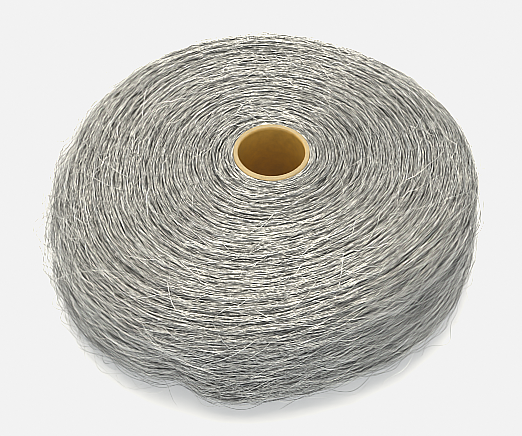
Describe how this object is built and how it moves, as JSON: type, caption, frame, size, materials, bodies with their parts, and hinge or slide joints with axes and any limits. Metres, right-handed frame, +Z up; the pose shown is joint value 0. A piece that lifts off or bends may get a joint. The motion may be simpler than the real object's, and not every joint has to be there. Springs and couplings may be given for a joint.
{
  "type": "steel wool roll",
  "caption": "Flat, wide roll of steel wool ribbon wound on an open cardboard tube, standing on its end, with a rounded and uneven rim.",
  "frame": {"origin": "middle of the roll's plan box, on the floor it stands on", "axes": "+Z up, along the core; +X to the right and +Y away from the viewer as the roll is seen in the source picture"},
  "size_m": [0.2456, 0.2383, 0.0829],
  "materials": {
    "kraft_card": "matte",
    "steel_wool": "matte"
  },
  "bodies": {
    "root": {"core_tube": "kraft_card", "wool_roll": "steel_wool"}
  },
  "joints": []
}
